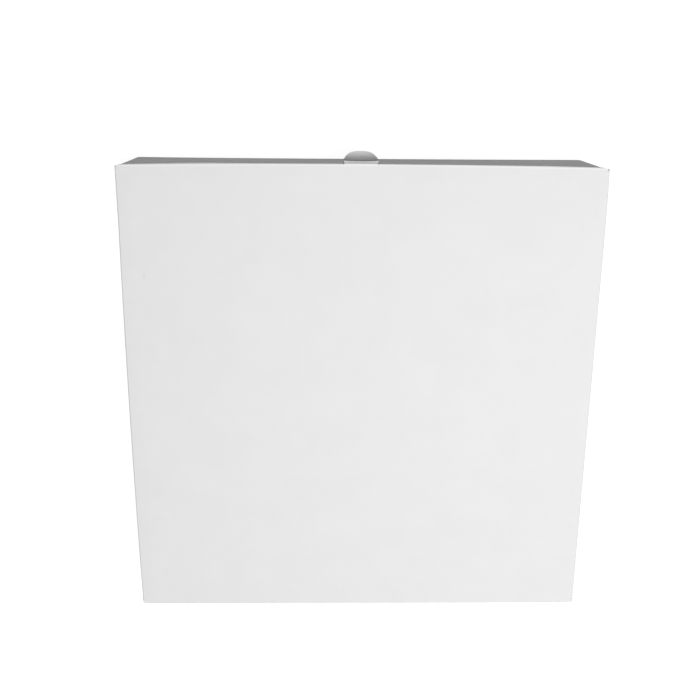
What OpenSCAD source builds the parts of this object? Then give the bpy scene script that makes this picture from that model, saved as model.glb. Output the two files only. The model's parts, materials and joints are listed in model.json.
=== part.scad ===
// Pastry box folded from one sheet of white board: a shallow square tray with doubled side
// walls, and a hood lid on the fold along the top of its back wall. Millimetres. Z is up, the
// front faces -Y, and the origin is the centre of the tray's underside.

/* [Board] */
// Thickness of the board
board_t = 0.8; // [0.6:0.1:1.4]
// Air between two layers of board that lie against each other
layer_air = 0.25; // [0.15:0.05:0.5]

/* [Tray] */
// Width across the outer faces of the side walls
tray_w = 300; // [180:1:400]
// Depth across the outer faces of the front and back walls
tray_d = 304; // [180:1:400]
// Height of the four walls
tray_h = 51; // [42:1:90]
// Length of the corner tabs folded back from the front and back walls
corner_tab_l = 42; // [20:1:70]
// Height lost along a corner tab, at its top and bottom edge alike
corner_tab_taper = 5; // [0:0.5:10]
// Distance of a corner tab's edges from the folds above and below it
corner_tab_relief = 1.2; // [0.5:0.1:3]
// Width of the locks that hold the doubled walls down in the base
lock_w = 34; // [15:1:60]
// Distance between the two locks of a side wall
lock_pitch = 150; // [80:1:220]
// Height of a lock's foot above the table
lock_lift = 0.2; // [0.1:0.05:0.3]
// Air round a lock in its slot
slot_air = 0.3; // [0.2:0.05:0.8]

/* [Lid] */
// Air between the tray's rim and the closed lid
lid_air = 0.2; // [0.1:0.05:0.5]
// Overhang of the lid past the front and side walls
lid_over = 4; // [2:0.5:8]
// Length of the corners cut off the lid panel at the front
lid_corner_cut = 2.2; // [0.5:0.1:4]
// Depth of the front flap, measured from the lid's top
front_flap_h = 51; // [30:0.5:88]
// Radius of the front flap's lower corners
front_flap_r = 1.5; // [0.5:0.5:10]
// Depth of the side flaps, measured from the lid's top
side_flap_h = 46; // [25:0.5:88]
// Distance of a side flap's ends from the lid's front and back edges
side_flap_inset = 3; // [1:0.5:10]
// Slope of a side flap's two ends, from the vertical
side_flap_slope = 12; // [0:1:30]
// Radius of a side flap's lower corners
side_flap_r = 7; // [1:0.5:15]

/* [Thumb tab] */
// Width of the tab where it leaves the lid's front edge
tab_root_w = 20.8; // [14:0.2:40]
// Width of the tab at its crease
tab_w = 22.4; // [14:0.2:42]
// Length of the flat stretch between the lid's edge and the crease
tab_root_l = 2.9; // [2:0.1:6]
// Slope of that stretch below the lid's plane
tab_root_slope = 40; // [20:1:60]
// Radius of the outward curl beyond the crease
tab_curl_r = 12; // [9:0.5:16]
// Slope of the curl below the lid's plane at the crease
tab_curl_start = 98; // [80:1:110]
// Slope of the curl below the lid's plane at the tip
tab_curl_end = 34; // [20:1:60]
// Roundness of the tab's outline: 2 is an ellipse, more is squarer
tab_power = 2.4; // [2:0.1:4]
// Air between the tab's outline and the notch that it leaves in the front flap
notch_air = 0.3; // [0.2:0.1:1]

/* [Hidden] */
$fn = 48;
// Overlap that lets pieces of one sheet fuse
fuse = 0.01;

// Side walls: an outer layer, a cavity that takes the corner tab, and an inner layer
wall_cavity = board_t + 2 * layer_air;
outer_layer_x = tray_w / 2 - board_t;
inner_layer_x = outer_layer_x - wall_cavity - board_t;
corner_tab_x = outer_layer_x - layer_air - board_t;
inner_layer_l = tray_d - 2 * board_t - 4 * layer_air;
inner_layer_z = board_t + layer_air;

// Lid: the hinge line lies in the middle of the board, above the back wall
lid_w = tray_w + 2 * lid_over;
lid_z = tray_h + lid_air;
lid_top = lid_z + board_t;
lid_front_y = -tray_d / 2 - lid_over;
hinge_y = tray_d / 2 - board_t / 2;
hinge_z = lid_z + board_t / 2;

// Thumb tab: reach is measured outwards from the lid's front edge, drop down from its top
tab_crease_reach = tab_root_l * cos(tab_root_slope);
tab_crease_drop = tab_root_l * sin(tab_root_slope);
tab_reach = tab_crease_reach + tab_curl_r * (sin(tab_curl_start) - sin(tab_curl_end));
tab_curl_l = tab_curl_r * (tab_curl_start - tab_curl_end) * PI / 180;
tab_steps = 16;

// Point of the curl at a slope, on its visible face or a board's thickness behind it
function curl_point(slope, back) = [
    tab_crease_reach + tab_curl_r * sin(tab_curl_start) - (tab_curl_r + back) * sin(slope),
    tab_crease_drop + (tab_curl_r + back) * cos(slope) - tab_curl_r * cos(tab_curl_start)
];

function curl_slope(i) = tab_curl_start + (tab_curl_end - tab_curl_start) * i / tab_steps;

// Half outline of a round-ended tongue: full width at 0, closed at its length
function tongue_half(half, length, steps) = [
    for (i = [0 : steps])
        let (a = 90 * i / steps)
        [half * pow(cos(a), 2 / tab_power), length * pow(sin(a), 2 / tab_power)]
];

module tongue_outline(root_half, half, root, length, air = 0) {
    side = tongue_half(half + air, length + air, tab_steps);
    polygon(concat(
        [[-root_half - air, -air], [root_half + air, -air]],
        [for (p = side) [p[0], root + p[1]]],
        [for (i = [len(side) - 2 : -1 : 0]) [-side[i][0], root + side[i][1]]]
    ));
}

// Upright panel in the plane of the side walls, from an outline in Y and Z
module upright_y(x, thickness) {
    translate([x, 0, 0])
        rotate([90, 0, 90])
            linear_extrude(thickness)
                children();
}

module base_panel() {
    slot_w = board_t + 2 * slot_air;
    slot_l = lock_w + 2 * slot_air;
    difference() {
        translate([-tray_w / 2, -tray_d / 2, 0])
            cube([tray_w, tray_d, board_t]);
        for (side = [-1, 1], end = [-1, 1])
            translate([
                side * (inner_layer_x + board_t / 2) - slot_w / 2,
                end * lock_pitch / 2 - slot_l / 2,
                -fuse
            ])
                cube([slot_w, slot_l, board_t + 2 * fuse]);
    }
}

module corner_tab() {
    low = board_t + corner_tab_relief;
    high = tray_h - board_t - corner_tab_relief;
    upright_y(corner_tab_x, board_t)
        polygon([
            [-tray_d / 2, low],
            [-tray_d / 2 + corner_tab_l, low + corner_tab_taper],
            [-tray_d / 2 + corner_tab_l, high - corner_tab_taper],
            [-tray_d / 2, high]
        ]);
}

module front_wall() {
    wall_w = 2 * (corner_tab_x + board_t);
    translate([-wall_w / 2, -tray_d / 2, 0])
        cube([wall_w, board_t, tray_h]);
    for (side = [0, 1])
        mirror([side, 0, 0])
            corner_tab();
}

module side_wall() {
    translate([outer_layer_x, -tray_d / 2, 0])
        cube([board_t, tray_d, tray_h]);
    translate([inner_layer_x, -inner_layer_l / 2, tray_h - board_t])
        cube([wall_cavity + board_t + fuse, inner_layer_l, board_t]);
    translate([inner_layer_x, -inner_layer_l / 2, inner_layer_z])
        cube([board_t, inner_layer_l, tray_h - inner_layer_z]);
    for (end = [-1, 1])
        translate([inner_layer_x, end * lock_pitch / 2 - lock_w / 2, lock_lift])
            cube([board_t, lock_w, inner_layer_z - lock_lift + fuse]);
}

module tray() {
    color("gainsboro")
        union() {
            base_panel();
            for (side = [0, 1]) {
                mirror([0, side, 0])
                    front_wall();
                mirror([side, 0, 0])
                    side_wall();
            }
        }
}

module lid_panel() {
    half = lid_w / 2;
    translate([0, 0, lid_z])
        linear_extrude(board_t)
            polygon([
                [-half + lid_corner_cut, lid_front_y],
                [half - lid_corner_cut, lid_front_y],
                [half, lid_front_y + lid_corner_cut],
                [half, hinge_y - lid_corner_cut],
                [half - lid_corner_cut, hinge_y],
                [-half + lid_corner_cut, hinge_y],
                [-half, hinge_y - lid_corner_cut],
                [-half, lid_front_y + lid_corner_cut]
            ]);
}

// Round back edge of the lid panel, on the hinge line
module fold_edge() {
    translate([-tray_w / 2, hinge_y, hinge_z])
        rotate([0, 90, 0])
            cylinder(h = tray_w, d = board_t);
}

module front_flap() {
    half = tray_w / 2;
    foot = lid_top - front_flap_h;
    translate([0, lid_front_y + board_t, 0])
        rotate([90, 0, 0])
            linear_extrude(board_t)
                difference() {
                    polygon([
                        [-half + front_flap_r, foot],
                        [half - front_flap_r, foot],
                        [half, foot + front_flap_r],
                        [half, lid_top],
                        [-half, lid_top],
                        [-half, foot + front_flap_r]
                    ]);
                    translate([0, lid_top])
                        mirror([0, 1])
                            tongue_outline(tab_root_w / 2, tab_w / 2, tab_root_l, tab_curl_l, notch_air);
                }
}

module side_flap() {
    foot = lid_top - side_flap_h;
    front = lid_front_y + side_flap_inset;
    back = hinge_y - side_flap_inset;
    run = (side_flap_h - side_flap_r) * tan(side_flap_slope);
    upright_y(lid_w / 2 - board_t, board_t)
        union() {
            polygon([
                [front, lid_top],
                [front + run, foot + side_flap_r],
                [front + run + side_flap_r, foot],
                [back - run - side_flap_r, foot],
                [back - run, foot + side_flap_r],
                [back, lid_top]
            ]);
            for (y = [front + run + side_flap_r, back - run - side_flap_r])
                translate([y, foot + side_flap_r])
                    circle(side_flap_r);
        }
}

module thumb_tab() {
    profile = concat(
        [[-board_t, 0], [0, 0], [tab_crease_reach, tab_crease_drop]],
        [for (i = [1 : tab_steps]) curl_point(curl_slope(i), 0)],
        [for (i = [tab_steps : -1 : 0]) curl_point(curl_slope(i), board_t)],
        [[-board_t, board_t]]
    );
    intersection() {
        translate([tab_w / 2, lid_front_y, lid_top])
            rotate([90, 0, -90])
                mirror([0, 1, 0])
                    linear_extrude(tab_w)
                        polygon(profile);
        translate([0, lid_front_y + board_t, lid_top - 2 * tab_curl_r])
            mirror([0, 1, 0])
                linear_extrude(2 * tab_curl_r + board_t)
                    tongue_outline(
                        tab_root_w / 2,
                        tab_w / 2,
                        tab_crease_reach + board_t,
                        tab_reach - tab_crease_reach
                    );
    }
}

module lid() {
    color("white")
        union() {
            lid_panel();
            fold_edge();
            front_flap();
            for (side = [0, 1])
                mirror([side, 0, 0])
                    side_flap();
            thumb_tab();
        }
}

tray();
lid();
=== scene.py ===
import json
import math

import bpy
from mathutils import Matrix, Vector, kdtree
from mathutils.geometry import delaunay_2d_cdt


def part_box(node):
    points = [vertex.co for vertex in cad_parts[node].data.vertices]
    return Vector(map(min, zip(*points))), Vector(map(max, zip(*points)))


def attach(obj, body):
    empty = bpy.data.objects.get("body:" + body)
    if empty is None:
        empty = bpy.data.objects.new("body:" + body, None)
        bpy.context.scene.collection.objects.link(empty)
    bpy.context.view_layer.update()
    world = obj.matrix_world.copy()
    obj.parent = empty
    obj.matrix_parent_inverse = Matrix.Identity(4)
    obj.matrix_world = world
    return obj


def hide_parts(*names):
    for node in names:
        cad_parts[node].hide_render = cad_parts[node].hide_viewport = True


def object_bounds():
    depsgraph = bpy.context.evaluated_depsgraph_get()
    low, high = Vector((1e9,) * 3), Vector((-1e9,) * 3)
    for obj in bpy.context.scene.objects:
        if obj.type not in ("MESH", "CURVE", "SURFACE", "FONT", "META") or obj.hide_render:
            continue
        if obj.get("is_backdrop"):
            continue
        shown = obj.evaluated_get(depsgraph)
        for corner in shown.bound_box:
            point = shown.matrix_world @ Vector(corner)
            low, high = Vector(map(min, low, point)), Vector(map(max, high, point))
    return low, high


# Pastry box of one sheet of white board. It is made here as two blanks that meet at the hinge fold,
# the tray and the lid: each is drawn flat, as a die cutter draws it, then folded crease by crease.
# Drawings are in millimetres, Blender is in metres.

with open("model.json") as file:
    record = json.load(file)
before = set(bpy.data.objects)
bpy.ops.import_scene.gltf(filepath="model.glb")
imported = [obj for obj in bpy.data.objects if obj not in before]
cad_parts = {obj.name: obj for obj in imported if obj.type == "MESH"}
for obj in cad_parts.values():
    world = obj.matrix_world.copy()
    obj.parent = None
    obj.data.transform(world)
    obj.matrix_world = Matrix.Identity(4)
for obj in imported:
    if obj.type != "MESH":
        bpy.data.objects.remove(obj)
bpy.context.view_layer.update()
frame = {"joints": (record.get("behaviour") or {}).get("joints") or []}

mm = 0.001
trayLow, trayHigh = [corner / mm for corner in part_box("tray")]
lidLow, lidHigh = [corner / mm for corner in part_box("lid")]
hinge = Vector(frame["joints"][0]["pos_m"]) / mm
lidFront = trayLow.y + lidLow.x - trayLow.x  # the lid hangs over the front as far as over the sides


# Board shared by both blanks
board = {
    "thickness": 0.8,
    "foldRadius": 0.7,  # of the board's middle layer
    "frontRadius": 0.45,  # the lid's front fold is pressed sharper
    "foldSteps": 8,  # rows of faces across a 90 degree fold
    "gridStep": 9.0,  # largest face on a flat panel
    "gridClear": 0.45,  # share of a face that the grid keeps away from cuts and creases
    "mergeLimit": 0.0001,  # points nearer than this become one
    "edgeAngle": 38.0,  # folds stay smooth below it, cut edges stay sharp
}
half = board["thickness"] / 2
bend = board["foldRadius"]
rightAngle = math.pi / 2
bendLength = bend * rightAngle
frontBend = board["frontRadius"]
nudge = 0.1  # by which a panel's test reaches past its border, to take the points on it
hair = 0.001  # the same where another panel starts at that border


# Node helper for geometry and shader trees alike
def addNode(tree, kind, values=None, **settings):
    made = tree.nodes.new(kind)
    for key, value in settings.items():
        setattr(made, key, value)
    for key, value in (values or {}).items():
        if isinstance(value, bpy.types.NodeSocket):
            tree.links.new(value, made.inputs[key])
        else:
            made.inputs[key].default_value = value
    return made


def newTree(name, inputs):
    tree = bpy.data.node_groups.new(name, "GeometryNodeTree")
    tree.interface.new_socket("Geometry", in_out="INPUT", socket_type="NodeSocketGeometry")
    for label, kind in inputs:
        tree.interface.new_socket(label, in_out="INPUT", socket_type="NodeSocket" + kind)
    tree.interface.new_socket("Geometry", in_out="OUTPUT", socket_type="NodeSocketGeometry")
    return tree, tree.nodes.new("NodeGroupInput").outputs


def closeTree(tree, geometry, material):
    real = addNode(tree, "GeometryNodeRealizeInstances", {0: geometry})
    painted = addNode(tree, "GeometryNodeSetMaterial", {"Geometry": real.outputs[0], "Material": material})
    addNode(tree, "NodeGroupOutput", {0: painted.outputs[0]})


def addTree(piece, tree, values):
    modifier = piece.modifiers.new(tree.name, "NODES")
    modifier.node_group = tree
    for socket in tree.interface.items_tree:
        if socket.in_out == "INPUT" and socket.name in values:
            modifier[socket.identifier] = values[socket.name]


# Turns what the modifiers make into the piece's own mesh
def bake(piece):
    evaluated = piece.evaluated_get(bpy.context.evaluated_depsgraph_get())
    baked = bpy.data.meshes.new_from_object(evaluated)
    piece.modifiers.clear()
    piece.data = baked
    baked.name = piece.name


def newPiece(name, mesh):
    piece = bpy.data.objects.new(name, mesh)
    bpy.context.scene.collection.objects.link(piece)
    return piece


# One crease: every point beyond it swings round the bend's centre. A point's "beyond" is its flat
# distance past the start of the bend, so points inside the bend take their share of the turn.
def makeFoldTree():
    tree, given = newTree("foldAtCrease", [
        ("Beyond", "String"), ("Crease", "Vector"), ("Outward", "Vector"), ("Towards", "Vector"),
        ("Radius", "Float"), ("Angle", "Float"), ("Material", "Material"),
    ])
    beyond = addNode(tree, "GeometryNodeInputNamedAttribute", {"Name": given["Beyond"]}, data_type="FLOAT")
    share = addNode(tree, "ShaderNodeMath", {0: beyond.outputs[0], 1: given["Radius"]}, operation="DIVIDE")
    turn = addNode(tree, "ShaderNodeClamp", {"Value": share.outputs[0], "Min": 0.0, "Max": given["Angle"]})
    used = addNode(tree, "ShaderNodeMath", {0: turn.outputs[0], 1: given["Radius"]}, operation="MULTIPLY")
    back = addNode(tree, "ShaderNodeVectorMath",
                   {"Vector": given["Outward"], "Scale": used.outputs[0]}, operation="SCALE")
    place = addNode(tree, "GeometryNodeInputPosition")
    rolled = addNode(tree, "ShaderNodeVectorMath", {0: place.outputs[0], 1: back.outputs[0]},
                     operation="SUBTRACT")
    arm = addNode(tree, "ShaderNodeVectorMath", {"Vector": given["Towards"], "Scale": given["Radius"]},
                  operation="SCALE")
    centre = addNode(tree, "ShaderNodeVectorMath", {0: given["Crease"], 1: arm.outputs[0]}, operation="ADD")
    axis = addNode(tree, "ShaderNodeVectorMath", {0: given["Outward"], 1: given["Towards"]},
                   operation="CROSS_PRODUCT")
    swung = addNode(tree, "ShaderNodeVectorRotate", {
        "Vector": rolled.outputs[0], "Center": centre.outputs[0],
        "Axis": axis.outputs[0], "Angle": turn.outputs[0],
    }, rotation_type="AXIS_ANGLE")
    moved = addNode(tree, "GeometryNodeSetPosition",
                    {"Geometry": given["Geometry"], "Position": swung.outputs[0]})
    closeTree(tree, moved.outputs[0], given["Material"])
    return tree


# The soft ridge that a crease raises inside the fold, along each edge of a drawn path
def makeBeadTree():
    tree, given = newTree("creaseBead", [
        ("Radius", "Float"), ("Step", "Float"), ("Sides", "Int"), ("Material", "Material"),
    ])
    path = addNode(tree, "GeometryNodeMeshToCurve", {"Mesh": given["Geometry"]})
    even = addNode(tree, "GeometryNodeResampleCurve", {"Curve": path.outputs[0], "Length": given["Step"]},
                   mode="LENGTH")
    ring = addNode(tree, "GeometryNodeCurvePrimitiveCircle",
                   {"Resolution": given["Sides"], "Radius": given["Radius"]})
    tube = addNode(tree, "GeometryNodeCurveToMesh",
                   {"Curve": even.outputs[0], "Profile Curve": ring.outputs[0], "Fill Caps": True})
    closeTree(tree, tube.outputs[0], given["Material"])
    return tree


foldTree = makeFoldTree()
beadTree = makeBeadTree()


# Flat drawing helpers
def mirrored(points):
    return [(-x, y) for x, y in reversed(points)]


def arc(centre, radius, start, end, steps):
    turns = [math.radians(start + (end - start) * i / steps) for i in range(steps + 1)]
    return [(centre[0] + radius * math.cos(a), centre[1] + radius * math.sin(a)) for a in turns]


def divided(a, b, step):
    count = max(1, math.ceil(math.dist(a, b) / step))
    return [(a[0] + (b[0] - a[0]) * i / count, a[1] + (b[1] - a[1]) * i / count) for i in range(count)]


def inside(point, loop):
    x, y = point
    hit = False
    for (ax, ay), (bx, by) in zip(loop, loop[1:] + loop[:1]):
        if (ay > y) != (by > y) and x < ax + (y - ay) * (bx - ax) / (by - ay):
            hit = not hit
    return hit


# A crease runs from a to b. Its rows of points cross the whole bend.
def creaseRows(crease):
    ax, ay, bx, by = crease["line"]
    ox, oy = crease["outward"]
    length = crease["radius"] * crease["angle"]
    steps = crease.get("rows") or max(2, round(board["foldSteps"] * crease["angle"] / rightAngle))
    shifts = [length * i / steps for i in range(steps + 1)]
    return [((ax + ox * d, ay + oy * d), (bx + ox * d, by + oy * d)) for d in shifts]


# Cuts the blank out of flat board and notes how far each point lies beyond each crease
def cutBlank(name, outline, holes, creases, panels, level, outerSideUp):
    points, edges = [], []

    def addRun(run, closed):
        first = len(points)
        points.extend(run)
        edges.extend((i, i + 1) for i in range(first, len(points) - 1))
        if closed:
            edges.append((len(points) - 1, first))

    def addLoop(loop, step):
        run = []
        for a, b in zip(loop, loop[1:] + loop[:1]):
            run += divided(a, b, step)
        addRun(run, True)

    step = board["gridStep"]
    addLoop(outline, step)
    for loop in holes:
        addLoop(loop, step)
    for crease in creases:
        for a, b in creaseRows(crease):
            addRun(divided(a, b, crease.get("step", step)) + [b], False)
    taken = kdtree.KDTree(len(points))
    for i, (x, y) in enumerate(points):
        taken.insert((x, y, 0), i)
    taken.balance()
    for x0, y0, x1, y1, size in panels:
        columns, rows = round((x1 - x0) / size), round((y1 - y0) / size)
        for i in range(1, columns):
            for j in range(1, rows):
                spot = (x0 + (x1 - x0) * i / columns, y0 + (y1 - y0) * j / rows)
                if taken.find((spot[0], spot[1], 0))[2] > board["gridClear"] * size:
                    points.append(spot)

    flatPoints = [Vector(p) for p in points]
    places, _, triangles, *_ = delaunay_2d_cdt(flatPoints, edges, [], 0, board["mergeLimit"])
    kept = []
    for triangle in triangles:
        middle = sum((places[i] for i in triangle), Vector((0, 0))) / 3
        if inside(middle, outline) and not any(inside(middle, loop) for loop in holes):
            kept.append(triangle if outerSideUp else triangle[::-1])
    used = sorted({i for triangle in kept for i in triangle})
    order = {old: new for new, old in enumerate(used)}
    mesh = bpy.data.meshes.new(name)
    mesh.from_pydata([(places[i].x * mm, places[i].y * mm, level * mm) for i in used], [],
                     [[order[i] for i in triangle] for triangle in kept])
    for crease in creases:
        ax, ay = crease["line"][:2]
        ox, oy = crease["outward"]
        values = [max(0.0, (places[i].x - ax) * ox + (places[i].y - ay) * oy) * mm
                  if crease["panel"](places[i].x, places[i].y) else 0.0 for i in used]
        mesh.attributes.new(crease["name"], "FLOAT", "POINT").data.foreach_set("value", values)
    return newPiece(name, mesh)


def foldBlank(piece, creases, level, material):
    for crease in creases:
        ax, ay = crease["line"][:2]
        addTree(piece, foldTree, {
            "Beyond": crease["name"],
            "Crease": (ax * mm, ay * mm, level * mm),
            "Outward": (*crease["outward"], 0.0),
            "Towards": (0.0, 0.0, crease["towards"]),
            "Radius": crease["radius"] * mm,
            "Angle": crease["angle"],
            "Material": material,
        })
    bake(piece)
    for crease in creases:
        piece.data.attributes.remove(piece.data.attributes[crease["name"]])


# Real board never lies quite flat: shift(x, y, z) gives a point's offset, all in millimetres
def relax(piece, shift):
    for vertex in piece.data.vertices:
        vertex.co += Vector(shift(*(vertex.co / mm))) * mm


def thicken(piece, outer, inner, cut):
    piece.data.materials.clear()
    for material in (outer, inner, cut):
        piece.data.materials.append(material)
    wall = piece.modifiers.new("board", "SOLIDIFY")
    wall.thickness = board["thickness"] * mm
    wall.offset = 0.0
    wall.material_offset = 1
    wall.material_offset_rim = 2
    bake(piece)
    piece.data.shade_smooth()
    piece.data.set_sharp_from_angle(angle=math.radians(board["edgeAngle"]))


# Beads along the creases, each path a list of points in millimetres
def layBeads(name, paths, bead, material):
    points, edges = [], []
    for path in paths:
        first = len(points)
        points.extend(Vector(p) * mm for p in path)
        edges.extend((i, i + 1) for i in range(first, len(points) - 1))
    mesh = bpy.data.meshes.new(name)
    mesh.from_pydata(points, edges, [])
    piece = newPiece(name, mesh)
    addTree(piece, beadTree, {
        "Radius": bead["radius"] * mm, "Step": bead["step"] * mm, "Sides": bead["sides"],
        "Material": material,
    })
    bake(piece)
    piece.data.shade_smooth()
    piece.data.set_sharp_from_angle(angle=math.radians(board["edgeAngle"]))
    return piece


# Finishes. Patterns lie on Object coordinates, which are the box's own frame in metres.
finishes = {
    "liner": {"tone": 0.84, "cloud": 0.012, "fibre": 0.00001, "roughness": 0.62, "specular": 0.15},
    "back": {"tone": 0.70, "cloud": 0.02, "fibre": 0.00003, "roughness": 0.85, "specular": 0.15},
    "cut": {"tone": 0.74, "cloud": 0.08, "fibre": 0.00006, "roughness": 0.9, "specular": 0.1},
}
pattern = {
    "cloudScale": 48.0,  # patches of about 20 mm
    "fibreScale": 1500.0,  # fibres of about 0.7 mm
    "fibreStretch": (1.0, 0.3, 1.0),  # the grain runs from hinge to front
    "smearRagged": 2.5,  # waves of a smear's ragged edge across its size
    "smearCore": 0.2,  # share of its reach that is fully dimmed
}


def makeBoard(name, finish, marks=(), paintedLines=()):
    material = bpy.data.materials.new(name)
    material.use_nodes = True
    tree = material.node_tree
    shader = tree.nodes["Principled BSDF"]
    shader.inputs["Roughness"].default_value = finish["roughness"]
    shader.inputs["Specular IOR Level"].default_value = finish["specular"]
    place = addNode(tree, "ShaderNodeTexCoord").outputs["Object"]
    cloud = addNode(tree, "ShaderNodeTexNoise", {
        "Vector": place, "Scale": pattern["cloudScale"], "Detail": 4.0, "Roughness": 0.6,
    })
    tone, swing = finish["tone"], finish["cloud"]
    light = addNode(tree, "ShaderNodeMapRange", {
        "Value": cloud.outputs["Fac"], "From Min": 0.3, "From Max": 0.7,
        "To Min": tone * (1 - swing), "To Max": tone * (1 + swing),
    }).outputs[0]
    for mark in marks:
        light = addMark(tree, place, light, mark)
    # painted highlight and painted shade along creases
    for line in paintedLines:
        light = addPaintedLightLine(tree, light, line)
    colour = addNode(tree, "ShaderNodeCombineColor", {"Red": light, "Green": light, "Blue": light})
    tree.links.new(colour.outputs[0], shader.inputs["Base Color"])
    grain = addNode(tree, "ShaderNodeMapping", {"Vector": place, "Scale": pattern["fibreStretch"]})
    fibre = addNode(tree, "ShaderNodeTexNoise", {
        "Vector": grain.outputs[0], "Scale": pattern["fibreScale"], "Detail": 3.0, "Roughness": 0.7,
    })
    bump = addNode(tree, "ShaderNodeBump", {
        "Height": fibre.outputs["Fac"], "Strength": 1.0, "Distance": finish["fibre"],
    })
    tree.links.new(bump.outputs[0], shader.inputs["Normal"])
    return material


# A faint smear: a soft spot, stretched and ragged, that takes a share of the light away
def addMark(tree, place, light, mark):
    centre, size, turn, depth = mark["centre"], mark["size"], mark["turn"], mark["depth"]
    local = addNode(tree, "ShaderNodeVectorMath", {0: place, 1: [c * mm for c in centre]},
                    operation="SUBTRACT")
    turned = addNode(tree, "ShaderNodeMapping", {
        "Vector": local.outputs[0], "Rotation": (0, 0, math.radians(turn)),
        "Scale": [1 / (s * mm) for s in size],
    })
    ragged = addNode(tree, "ShaderNodeTexNoise", {
        "Vector": turned.outputs[0], "Scale": pattern["smearRagged"], "Detail": 3.0,
    })
    shifted = addNode(tree, "ShaderNodeVectorMath", {0: turned.outputs[0], 1: ragged.outputs["Color"]},
                      operation="ADD")
    centred = addNode(tree, "ShaderNodeVectorMath", {0: shifted.outputs[0], 1: (0.5, 0.5, 0.5)},
                      operation="SUBTRACT")
    reach = addNode(tree, "ShaderNodeVectorMath", {0: centred.outputs[0]}, operation="LENGTH")
    keep = addNode(tree, "ShaderNodeMapRange", {
        "Value": reach.outputs["Value"], "From Min": pattern["smearCore"], "From Max": 1.0,
        "To Min": 1 - depth, "To Max": 1.0,
    }, interpolation_type="SMOOTHSTEP")
    dimmed = addNode(tree, "ShaderNodeMath", {0: light, 1: keep.outputs[0]}, operation="MULTIPLY")
    return dimmed.outputs[0]


# A soft band of painted light along a crease: a lift above 1 paints a highlight, a lift below 1 paints
# shade.
# Its four depths are the flat distances past the crease where it starts, is full, fades and ends.
def addPaintedLightLine(tree, light, line):
    past = addNode(tree, "ShaderNodeAttribute", attribute_name=line["attribute"]).outputs["Fac"]
    start, full, fade, end = [depth * mm for depth in line["depths"]]
    for near, far, factor in ((start, full, line["lift"]), (fade, end, 1 / line["lift"])):
        step = addNode(tree, "ShaderNodeMapRange", {
            "Value": past, "From Min": near, "From Max": far, "To Min": 1.0, "To Max": factor,
        }, interpolation_type="SMOOTHSTEP")
        stepped = addNode(tree, "ShaderNodeMath", {0: light, 1: step.outputs[0]}, operation="MULTIPLY")
        light = stepped.outputs[0]
    return light


# Smears on the lid. The last size is height, and is tall enough to reach through the bowed panel.
lidMarks = [
    {"centre": (139.5, -86.5, lidHigh.z), "size": (1.6, 3.0, 20.0), "turn": 12.0, "depth": 0.06},
    {"centre": (137.3, -90.4, lidHigh.z), "size": (0.8, 2.8, 20.0), "turn": -25.0, "depth": 0.028},
    {"centre": (135.8, 127.0, lidHigh.z), "size": (2.6, 3.2, 20.0), "turn": 0.0, "depth": 0.012},
]
# Painted light on the lid: a painted highlight along the front fold and painted shade in the tab's crease
lidPaintedLightLines = [
    # painted highlight along the front fold
    {"attribute": "pastFrontFold", "depths": (-0.8, -0.35, 0.35, 0.8), "lift": 1.08},
    # painted shade in the tab's crease, where the tab bends under its lip
    {"attribute": "pastTabCrease", "depths": (-0.82, -0.6, 2.4, 4.5), "lift": 0.5},
]
linerBoard = makeBoard("whiteLinerPaintedLight", finishes["liner"], lidMarks, lidPaintedLightLines)
plainLiner = makeBoard("plainLiner", finishes["liner"])
backBoard = makeBoard("uncoatedBack", finishes["back"])
cutBoard = makeBoard("cutEdge", finishes["cut"])
print("materials made")


# Lid: a top panel with a front flap, two side flaps and a thumb tab cut out of the front flap
lidShape = {
    "edgeIn": 0.1,  # free edges stay this far inside the panel's box
    "frontFlapCorner": 1.5,
    "frontCornerSteps": 3,
    "sideFlapDepth": 46.0,
    "sideFlapInset": 3.0,
    "sideFlapSlope": 12.0,
    "sideFlapCorner": 7.0,
    "sideCornerSteps": 6,
    "slit": 0.25,  # relief cut at a flap's end
    "notchOut": 0.35,  # a front corner's cut ends this far past the side fold
    "flapLead": 0.8,  # a side flap's top runs this close to the lid's front
    "frontFlapEnd": {1: 149.8, -1: 148.2},  # the flap is cut a little off the middle
    "cornerCut": {1: (1.9, 2.3), -1: (2.0, 2.4)},  # front corners, along X and along Y
    "hingeCornerCut": 0.9,
    "bulgeBand": 9.0,  # stretch of the front flap that bulges under the fold, and its face size
    "bulgeStep": 1.5,
}
tab = {
    "offset": 1.6,  # the tab too is cut off the middle
    "rootHalf": 10.4, "half": 10.9, "air": 0.3,
    "power": 2.8, "outlineSteps": 16,  # roundness of the tongue: 2 is an ellipse, more is squarer
    "rootRadius": 0.5, "rootAngle": 56.0, "rootLength": 1.5,
    "setBack": 0.35,  # of the root's bend, behind the lid's front
    "lipRadius": 0.6, "lipAngle": 22.0, "lipLength": 0.2,  # the crease's raised lip
    "creaseRadius": 0.5, "creaseAngle": 84.0, "grooveLength": 0.3,
    "grooveRadius": 0.6, "grooveAngle": 37.0, "hangLength": 4.6,  # flat stretch below the groove
    "curlRadius": 12.8, "curlAngle": 45.0, "curlRows": 16, "tongueLength": 15.1,
    "creasePast": 1.0, "step": 0.9,  # how far its creases are drawn past its sides, and their face size
}
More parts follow.
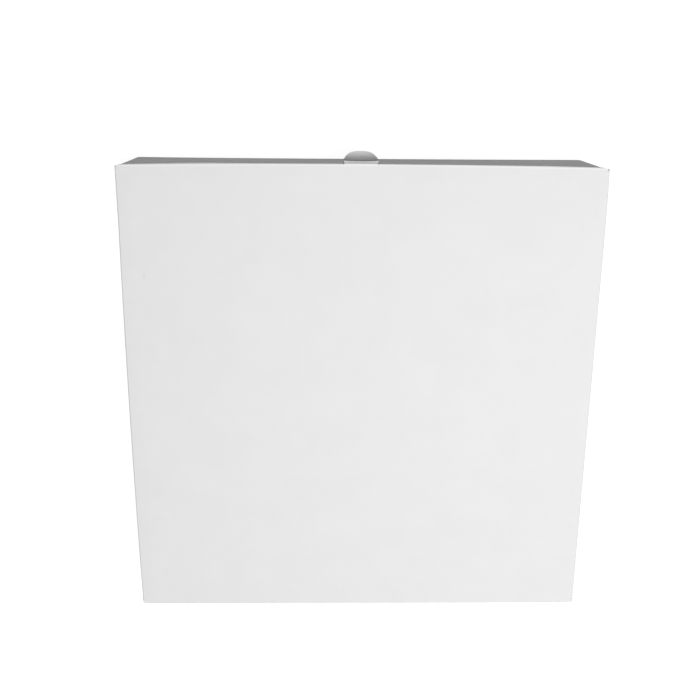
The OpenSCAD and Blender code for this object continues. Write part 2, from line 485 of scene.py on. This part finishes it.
lidRelax = {
    "frontBow": 1.25,  # middle of the front fold, beyond its ends
    "tabBow": 0.45,  # ends of the tab's crease, beyond its middle
    "tabFade": 1.5,  # reach past the lid's front at which that bow is full
    "frontEnds": {1: 0.4, -1: 0.0},  # ends of the front fold, beyond the lid's corners
    "frontFade": 70.0,  # depth of lid that shares the front bow
    "footIn": -0.35,  # middle of the front flap's foot, inwards
    "bulge": {1: 1.6, -1: 1.0},  # front flap, outwards under the fold towards its ends
    "hollow": 0.3,  # and inwards near its middle
    "hollowAt": -0.12,  # share of the flap's half width
    "rise": 3.2,  # how fast the hollow turns to the bulge
    "bulgeAt": 2.2,  # depth below the fold
    "flapBand": 0.5,  # points this near to the lid's front belong to the flap
    "footOut": {1: 0.8, -1: 0.5},  # ends of the front flap's foot, outwards
    "sideBow": {1: 1.1, -1: -0.05},  # side folds, outwards, most at this place along Y
    "sideBowAt": 35.0,
    "sideIn": {1: (0.1, 0.4), -1: (0.1, 0.2)},  # side folds at the front and at the hinge, inwards
    "pinch": {1: 0.1, -1: 0.6},  # the corners at the front, pressed inwards
    "pinchFade": 15.0,  # depth of lid over which they spring back
    "crown": 0.6,
}

lidLevel = hinge.z
frontCrease = lidFront + half + frontBend
sideCrease = lidHigh.x - half - bend
flapRun = lidLevel - bend  # height of the bend's centre, where a flap runs straight down
frontFoot = frontCrease - frontBend * rightAngle - (lidLevel - frontBend - lidLow.z)
sideFoot = sideCrease + bendLength + flapRun - (lidHigh.z - lidShape["sideFlapDepth"])
flapHalf = trayHigh.x
flapBack = hinge.y - lidShape["sideFlapInset"]

tabStart = lidFront + tab["rootRadius"] * math.tan(math.radians(tab["rootAngle"]) / 2) + tab["setBack"]
rootBend = tab["rootRadius"] * math.radians(tab["rootAngle"])
lipBend = tab["lipRadius"] * math.radians(tab["lipAngle"])
creaseBend = tab["creaseRadius"] * math.radians(tab["creaseAngle"])
tabLip = tabStart - rootBend - tab["rootLength"]
tabCrease = tabLip - lipBend - tab["lipLength"]
tabHang = tabCrease - creaseBend
tabGroove = tabHang - tab["grooveLength"]
tabCurl = tabGroove - tab["grooveRadius"] * math.radians(tab["grooveAngle"]) - tab["hangLength"]


def tongue(air):
    side = []
    steps = tab["outlineSteps"]
    for i in range(steps + 1):
        a = rightAngle * i / steps
        side.append(((tab["half"] + air) * math.cos(a) ** (2 / tab["power"]),
                     tabHang - (tab["tongueLength"] + air) * math.sin(a) ** (2 / tab["power"])))
    run = [(tab["rootHalf"] + air, frontCrease), (tab["rootHalf"] + air, tabStart)] + side
    both = run + [(-x, y) for x, y in reversed(run) if x > hair]
    return [(x + tab["offset"], y) for x, y in both]


tabOutline = tongue(0)
tabKerf = tongue(tab["air"]) + tabOutline[::-1]


def lidSide(side):
    shape = lidShape
    cutX, cutY = shape["cornerCut"][side]
    slit = shape["slit"]
    free = lidHigh.x - shape["edgeIn"]
    edge = lidFront + shape["edgeIn"]
    notch = sideCrease + shape["notchOut"]
    lead = lidFront + shape["flapLead"]
    radius = shape["sideFlapCorner"]
    straight = sideFoot - radius
    run = (straight - notch - slit) * math.tan(math.radians(shape["sideFlapSlope"]))
    steps = shape["sideCornerSteps"]
    small = shape["frontFlapCorner"]
    hingeCut = shape["hingeCornerCut"]
    end = shape["frontFlapEnd"][side]
    front = arc((end - small, frontFoot + small), small, -90, 0, shape["frontCornerSteps"])
    front += [(end, frontCrease), (end + slit, frontCrease), (end + slit, edge)]
    corner = [(free - cutX, edge), (notch, edge + cutY)]
    corner += [(notch + slit, edge + cutY), (notch + slit, lead)]
    flap = [(straight, lead + run)] + arc((straight, lead + run + radius), radius, -90, 0, steps)[1:]
    flap += arc((straight, flapBack - run - radius), radius, 0, 90, steps)
    back = [(notch + slit, flapBack), (sideCrease, flapBack), (sideCrease, flapBack + slit)]
    back += [(free, flapBack + slit), (free, hinge.y - hingeCut), (free - hingeCut, hinge.y)]
    return front + corner + flap + back


# The tab's outline, a little larger, so that the points on it count as inside
def inTab(x, y):
    middle = tab["offset"]
    grow = 1.01
    return inside((x, y), [(middle + (px - middle) * grow, frontCrease + (py - frontCrease) * grow)
                           for px, py in tabOutline])


def inFrontFlap(x, y):
    return abs(x) < flapHalf + nudge and y < frontCrease and not inTab(x, y)


def sideFlapTest(side):
    cornerEnd = lidFront + lidShape["edgeIn"] + lidShape["cornerCut"][side][1]
    leadX = sideCrease + 2 * lidShape["slit"]

    def test(x, y):
        if y > flapBack + nudge:
            return False
        return side * x > (sideCrease if y > cornerEnd - hair else leadX)
    return test


def tabFold(kind, start, towards, reach, rows=None):
    return {
        "name": "tab" + kind.capitalize(),
        "line": (tab["offset"] - reach, start, tab["offset"] + reach, start),
        "outward": (0, -1), "towards": towards,
        "radius": tab[kind + "Radius"], "angle": math.radians(tab[kind + "Angle"]),
        "panel": inTab, "step": tab["step"], "rows": rows,
    }


# Creases in the order in which they are folded, a panel's outermost first
tabReach = tab["half"] + tab["creasePast"]
lidCreases = [
    tabFold("curl", tabCurl, 1.0, tabReach, tab["curlRows"]),
    tabFold("groove", tabGroove, 1.0, tabReach),
    tabFold("crease", tabCrease, -1.0, tabReach),
    tabFold("lip", tabLip, 1.0, tabReach),
    tabFold("root", tabStart, -1.0, tab["rootHalf"]),
    {"name": "frontFold", "line": (-flapHalf, frontCrease, flapHalf, frontCrease), "outward": (0, -1),
     "towards": -1.0, "radius": frontBend, "angle": rightAngle, "panel": inFrontFlap},
]
for side in (1, -1):
    lidCreases.append({
        "name": f"sideFold{side}",
        "line": (side * sideCrease, lidFront, side * sideCrease, flapBack),
        "outward": (side, 0), "towards": -1.0, "radius": bend, "angle": rightAngle,
        "panel": sideFlapTest(side),
    })

lidOutline = lidSide(1) + mirrored(lidSide(-1))
gridStep = board["gridStep"]
flapTop = frontCrease - frontBend * rightAngle
bulgeFoot = flapTop - lidShape["bulgeBand"]
lidPanels = [
    (-sideCrease, frontCrease, sideCrease, hinge.y, gridStep),
    (-flapHalf, bulgeFoot, flapHalf, flapTop, lidShape["bulgeStep"]),
    (-flapHalf, frontFoot, flapHalf, bulgeFoot, gridStep),
    (sideCrease + bendLength, lidFront, sideFoot, flapBack, gridStep),
    (-sideFoot, lidFront, -sideCrease - bendLength, flapBack, gridStep),
]
lidBoard = cutBlank("lidBoard", lidOutline, [tabKerf], lidCreases, lidPanels, lidLevel, True)

# Distances that the lid's painted highlight and painted shade read, in metres. Off the tab the second is
# far away.
farAway = 1.0
flat = [vertex.co / mm for vertex in lidBoard.data.vertices]
pastFold = [(frontCrease - point.y) * mm for point in flat]
pastCrease = [(tabHang - point.y) * mm if inTab(point.x, point.y) else farAway for point in flat]
for name, values in (("pastFrontFold", pastFold), ("pastTabCrease", pastCrease)):
    lidBoard.data.attributes.new(name, "FLOAT", "POINT").data.foreach_set("value", values)
foldBlank(lidBoard, lidCreases, lidLevel, linerBoard)


def lidShift(x, y, z):
    u, v = x / flapHalf, y / flapHalf
    hand = 1 if x > 0 else -1
    depth = max(0.0, min(1.0, (flapRun - z) / (flapRun - lidLow.z)))
    share = max(0.0, 1 - (y - lidFront) / lidRelax["frontFade"]) ** 2
    ends = lidRelax["frontEnds"]
    middle = max(0.0, 1 - u * u)
    bow = lidRelax["frontBow"] * middle + ends[1] * (1 + u) / 2 + ends[-1] * (1 - u) / 2
    footOut = lidRelax["footOut"][hand]
    foot = footOut - (footOut + lidRelax["footIn"]) * max(0.0, 1 - u ** 4)
    forward = (bow * (1 - depth) + foot * depth) * share
    if abs(x - tab["offset"]) < tab["half"] + tab["air"] and y < lidFront - nudge:
        across = (x - tab["offset"]) / tab["half"]
        forward += lidRelax["tabBow"] * across ** 2 * min(1.0, (lidFront - y) / lidRelax["tabFade"])
    elif y < lidFront + lidRelax["flapBand"]:
        drop = lidLevel - z
        belly = lidRelax["rise"] * (u - lidRelax["hollowAt"]) ** 2 - lidRelax["hollow"]
        belly = min(belly, lidRelax["bulge"][hand]) * max(0.0, 1 - u ** 6)
        forward += belly * (1 - math.exp(-drop / lidRelax["bulgeAt"])) * (1 - drop / lidLevel)
    along = (y - lidRelax["sideBowAt"]) / (hinge.y - lidFront) * 2
    back = (y - lidFront) / (hinge.y - lidFront)
    near, far = lidRelax["sideIn"][hand]
    wide = lidRelax["sideBow"][hand] * max(0.0, 1 - along * along) - near * (1 - back) - far * back
    wide -= lidRelax["pinch"][hand] * math.exp(-(y - lidFront) / lidRelax["pinchFade"])
    outward = hand * wide * min(1.0, abs(u)) ** 6
    crown = lidRelax["crown"] * middle * max(0.0, 1 - v * v)
    return outward, -forward, crown


relax(lidBoard, lidShift)
thicken(lidBoard, linerBoard, backBoard, cutBoard)
print("lid folded:", len(lidBoard.data.polygons), "faces")


# Tray: base, front and back walls with corner tabs, and doubled side walls locked into the base
trayShape = {
    "cornerTabLength": 42.0,
    "cornerTabTaper": 5.0,
    "cornerTabRelief": 1.2,
    "cornerTabAir": 0.25,
    "slit": 0.2,  # relief cut at a corner tab's ends
    "cornerSplit": 0.25,  # past the front and back: side walls end before it, corner tabs start after
    "rollFlat": 0.7,  # flat strip between the two creases of a side wall's top
    "rollLead": 0.3,  # slant of the roll's ends
    "lockWidth": 34.0,
    "lockPitch": 150.0,
    "lockLift": 0.2,
    "lockCorner": (0.3, 0.6),  # cut off a lock's foot
    "slotAir": 0.3,
    "layerAir": 0.25,
    "hingeDip": 0.25,  # the back wall's top ends this far below the hinge, inside the fold there
}
trayRelax = {
    "baseCrown": 0.35,  # middle of the base, upwards
    "baseBand": 0.01,  # share of the height that moves with the base
    "innerBelly": 0.7,  # middle of a side wall's inner layer, inwards
    "outerBelly": 0.35,  # middle of its outer layer, outwards
    "layerBand": 0.3,  # points this near to a layer's plane belong to it
    "wallLean": 0.4,  # middle of the front wall's rim, inwards
    "wallBand": 1.0,  # points this near to the front belong to the front wall
}

trayLevel = trayLow.z + half
wallCrease = trayHigh.y - half - bend
sideWallCrease = trayHigh.x - half - bend
wallStraight = trayHigh.z - half - 2 * bend - trayLevel
sideTop = sideWallCrease + bendLength + wallStraight  # first crease of the rolled top
sideRoll = sideTop + bendLength + trayShape["rollFlat"]
innerStart = sideRoll + bendLength
innerFoot = innerStart + trayHigh.z - half - bend - (board["thickness"] + trayShape["layerAir"])
lockFoot = innerFoot + board["thickness"] + trayShape["layerAir"] - trayShape["lockLift"]
tabPlane = trayHigh.x - board["thickness"] - trayShape["cornerTabAir"] - half
cornerCrease = tabPlane - bend
cornerFoot = cornerCrease + bendLength + trayShape["cornerTabLength"] - half - bend
innerEnd = trayHigh.y - board["thickness"] - 2 * trayShape["layerAir"]
innerPlane = tabPlane - half - trayShape["cornerTabAir"] - half
wallEnd = tabPlane + half
cornerLow = board["thickness"] + trayShape["cornerTabRelief"]
cornerHigh = trayHigh.z - cornerLow
cornerSplit = trayHigh.y + trayShape["cornerSplit"]


# Flat distance of a height on the front or back wall
def wallAt(height):
    return wallCrease + bendLength + height - trayLevel - bend


def trayCorner(top):
    taper = trayShape["cornerTabTaper"]
    slitLow, slitHigh = cornerLow - trayShape["slit"], cornerHigh + trayShape["slit"]
    return [
        (wallEnd, wallAt(top)), (wallEnd, wallAt(slitHigh)), (cornerCrease, wallAt(slitHigh)),
        (cornerCrease, wallAt(cornerHigh)), (wallEnd, wallAt(cornerHigh)),
        (cornerFoot, wallAt(cornerHigh - taper)), (cornerFoot, wallAt(cornerLow + taper)),
        (wallEnd, wallAt(cornerLow)), (cornerCrease, wallAt(cornerLow)),
        (cornerCrease, wallAt(slitLow)), (wallEnd, wallAt(slitLow)), (sideWallCrease, wallCrease),
    ]


def trayQuarter(top):
    near = (trayShape["lockPitch"] - trayShape["lockWidth"]) / 2
    far = (trayShape["lockPitch"] + trayShape["lockWidth"]) / 2
    cutX, cutY = trayShape["lockCorner"]
    run = trayCorner(top)
    run += [(sideWallCrease + bendLength, trayHigh.y), (sideTop, trayHigh.y)]
    run += [(sideTop + trayShape["rollLead"], innerEnd), (innerFoot, innerEnd)]
    run += [(innerFoot, far), (lockFoot - cutX, far), (lockFoot, far - cutY)]
    run += [(lockFoot, near + cutY), (lockFoot - cutX, near), (innerFoot, near)]
    return run


def flipped(points):
    return [(x, -y) for x, y in points]


def slot(side, end):
    reach = half + trayShape["slotAir"]
    length = trayShape["lockWidth"] / 2 + trayShape["slotAir"]
    x, y = side * innerPlane, end * trayShape["lockPitch"] / 2
    signs = ((-1, -1), (1, -1), (1, 1), (-1, 1))
    return [(x + signX * reach, y + signY * length) for signX, signY in signs]


backQuarter = trayQuarter(hinge.z - trayShape["hingeDip"])
frontQuarter = trayQuarter(trayHigh.z)
rightHalf = flipped(frontQuarter) + backQuarter[::-1]
trayOutline = rightHalf + mirrored(rightHalf)
traySlots = [slot(side, end) for side in (1, -1) for end in (1, -1)]


def inEndChain(end):
    return lambda x, y: end * y > wallCrease and (abs(x) < sideWallCrease + hair or abs(y) > cornerSplit)


def inCornerTab(side, end):
    low, high = wallAt(cornerLow - nudge), wallAt(cornerHigh + nudge)
    return lambda x, y: side * x > cornerCrease and low < end * y < high


def inSideChain(side, start):
    return lambda x, y: side * x > start and abs(y) < cornerSplit


trayCreases = []
for side in (1, -1):
    for end in (1, -1):
        x = side * cornerCrease
        trayCreases.append({
            "name": f"corner{side}{end}",
            "line": (x, end * wallAt(cornerLow), x, end * wallAt(cornerHigh)),
            "outward": (side, 0), "panel": inCornerTab(side, end),
        })
for side in (1, -1):
    for name, start, reach in (("roll", sideRoll, innerEnd), ("top", sideTop, innerEnd),
                               ("wall", sideWallCrease, trayHigh.y)):
        trayCreases.append({
            "name": f"{name}{side}", "line": (side * start, -reach, side * start, reach),
            "outward": (side, 0), "panel": inSideChain(side, start),
        })
for end in (1, -1):
    trayCreases.append({
        "name": f"end{end}", "line": (-wallEnd, end * wallCrease, wallEnd, end * wallCrease),
        "outward": (0, end), "panel": inEndChain(end),
    })
for crease in trayCreases:
    crease.update({"towards": 1.0, "radius": bend, "angle": rightAngle})

trayPanels = [(-sideWallCrease, -wallCrease, sideWallCrease, wallCrease, gridStep)]
for side in (1, -1):
    for near, far in ((sideWallCrease + bendLength, sideTop), (innerStart, innerFoot)):
        low, high = sorted((side * near, side * far))
        trayPanels.append((low, -innerEnd, high, innerEnd, gridStep))
    low, high = sorted((side * (cornerCrease + bendLength), side * cornerFoot))
    for end in (1, -1):
        bottom, top = sorted((end * wallAt(cornerLow), end * wallAt(cornerHigh)))
        trayPanels.append((low, bottom, high, top, gridStep))
for end in (1, -1):
    bottom, top = sorted((end * (wallCrease + bendLength), end * wallAt(trayHigh.z)))
    trayPanels.append((-cornerCrease, bottom, cornerCrease, top, gridStep))

trayBoard = cutBlank("trayBoard", trayOutline, traySlots, trayCreases, trayPanels, trayLevel, False)
foldBlank(trayBoard, trayCreases, trayLevel, plainLiner)


def trayShift(x, y, z):
    u, v = x / trayHigh.x, y / trayHigh.y
    rise = (z - trayLevel) / (trayHigh.z - trayLevel)
    if rise < trayRelax["baseBand"]:
        return 0, 0, trayRelax["baseCrown"] * max(0.0, 1 - u ** 4) * max(0.0, 1 - v ** 4)
    belly = 4 * rise * (1 - rise) * (1 - v * v)
    if abs(abs(x) - innerPlane) < trayRelax["layerBand"]:
        return -math.copysign(trayRelax["innerBelly"], x) * belly, 0, 0
    if abs(abs(x) - (trayHigh.x - half)) < trayRelax["layerBand"]:
        return math.copysign(trayRelax["outerBelly"], x) * belly, 0, 0
    if -y > trayHigh.y - trayRelax["wallBand"]:
        return 0, trayRelax["wallLean"] * rise * (1 - u ** 4), 0
    return 0, 0, 0


relax(trayBoard, trayShift)
thicken(trayBoard, plainLiner, backBoard, cutBoard)
print("tray folded:", len(trayBoard.data.polygons), "faces")


# Beads inside the folds that show, and the fold that joins the two blanks at the hinge
bead = {
    "radius": 0.42, "step": 6.0, "sides": 10,
    "tabGap": 0.6,  # from the tab's side
    "endGap": 0.3,  # from the ends of the folds
    "cornerGap": 3.4,  # from the lid's front
    "pathSteps": 40,
}
hingeBead = {"radius": 0.5, "step": 6.0, "sides": 12}


def beadPath(a, b, shift=None):
    steps = bead["pathSteps"]
    points = [Vector(a).lerp(Vector(b), i / steps) for i in range(steps + 1)]
    return [p + Vector(shift(*p)) for p in points] if shift else points


lidPaths = []
for side in (1, -1):
    near = tab["offset"] + side * (tab["rootHalf"] + bead["tabGap"])
    far = side * (lidShape["frontFlapEnd"][side] - bead["endGap"])
    lidPaths.append(beadPath((near, frontCrease, lidLevel - frontBend),
                             (far, frontCrease, lidLevel - frontBend), lidShift))
    lidPaths.append(beadPath((side * sideCrease, lidFront + bead["cornerGap"], flapRun),
                             (side * sideCrease, flapBack - bead["endGap"], flapRun), lidShift))
trayPaths = [beadPath((-cornerCrease, end * wallCrease, trayLevel + bend),
                      (cornerCrease, end * wallCrease, trayLevel + bend)) for end in (1, -1)]
lidCreaseBeads = layBeads("lidCreaseBeads", lidPaths, bead, backBoard)
trayCreaseBeads = layBeads("trayCreaseBeads", trayPaths, bead, backBoard)
hingeFold = layBeads("hingeFold", [beadPath((-flapHalf, hinge.y, hinge.z), (flapHalf, hinge.y, hinge.z))],
                     hingeBead, plainLiner)
print("creases laid")


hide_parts("lid")
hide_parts("tray")
for piece, body, slotName in ((lidBoard, "lid", "lid_board"), (lidCreaseBeads, "lid", "lid_board"),
                              (hingeFold, "lid", "lid_board"), (trayBoard, "tray", "tray_board"),
                              (trayCreaseBeads, "tray", "tray_board")):
    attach(piece, body)


# Studio
studio = {
    "floorSize": 6.0, "floorTone": 0.28, "floorGlow": 0.93,
    "sky": 0.2,
    "keyPlace": (-0.33, 0.06, 1.485), "keyTarget": (0.0, 0.0, 0.05), "keySize": 0.6, "keyPower": 17.5,
}
camera = {
    "place": (0.0178, -0.2044, 0.6121), "turn": (-16.615, -0.907, -179.586),
    "lens": 45.81, "clipStart": 0.01,
}


def makeFloor():
    reach = studio["floorSize"] / 2
    mesh = bpy.data.meshes.new("floor")
    mesh.from_pydata([(-reach, -reach, 0), (reach, -reach, 0), (reach, reach, 0), (-reach, reach, 0)], [],
                     [(0, 1, 2, 3)])
    floor = newPiece("floor", mesh)
    material = bpy.data.materials.new("studioFloor")
    material.use_nodes = True
    tree = material.node_tree
    tree.nodes.remove(tree.nodes["Principled BSDF"])
    tone = studio["floorTone"]
    matt = addNode(tree, "ShaderNodeBsdfDiffuse", {"Color": (tone, tone, tone, 1)})
    seen = seenByEye(tree)
    glow = addNode(tree, "ShaderNodeMath", {0: seen, 1: studio["floorGlow"]}, operation="MULTIPLY")
    shine = addNode(tree, "ShaderNodeEmission", {"Strength": glow.outputs[0]})
    both = addNode(tree, "ShaderNodeAddShader", {0: matt.outputs[0], 1: shine.outputs[0]})
    tree.links.new(both.outputs[0], tree.nodes["Material Output"].inputs["Surface"])
    mesh.materials.append(material)
    floor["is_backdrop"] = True


# 1 for rays that the camera follows, directly or through gloss or glass
def seenByEye(tree):
    rays = addNode(tree, "ShaderNodeLightPath").outputs
    some = addNode(tree, "ShaderNodeMath", {0: rays["Is Camera Ray"], 1: rays["Is Glossy Ray"]},
                   operation="MAXIMUM")
    return addNode(tree, "ShaderNodeMath", {0: some.outputs[0], 1: rays["Is Transmission Ray"]},
                   operation="MAXIMUM").outputs[0]


def makeSky():
    world = bpy.data.worlds.new("studioSky")
    bpy.context.scene.world = world
    world.use_nodes = True
    tree = world.node_tree
    back = tree.nodes["Background"]
    back.inputs["Color"].default_value = (1, 1, 1, 1)
    level = addNode(tree, "ShaderNodeMapRange",
                    {"Value": seenByEye(tree), "To Min": studio["sky"], "To Max": 1.0})
    tree.links.new(level.outputs[0], back.inputs["Strength"])


def makeKey():
    light = bpy.data.lights.new("keyLight", "AREA")
    light.shape = "DISK"
    light.size = studio["keySize"]
    light.energy = studio["keyPower"]
    lamp = bpy.data.objects.new("keyLight", light)
    bpy.context.scene.collection.objects.link(lamp)
    lamp.location = studio["keyPlace"]
    lamp.rotation_euler = (Vector(studio["keyTarget"]) - lamp.location).to_track_quat("-Z", "Y").to_euler()


def makeCamera():
    data = bpy.data.cameras.new("photoCamera")
    data.lens = camera["lens"]
    data.clip_start = camera["clipStart"]
    eye = bpy.data.objects.new("photoCamera", data)
    bpy.context.scene.collection.objects.link(eye)
    eye.location = camera["place"]
    eye.rotation_euler = [math.radians(a) for a in camera["turn"]]
    bpy.context.scene.camera = eye


makeFloor()
makeSky()
makeKey()
makeCamera()
bpy.context.scene.view_settings.view_transform = "Standard"
print("studio set")

low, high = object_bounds()
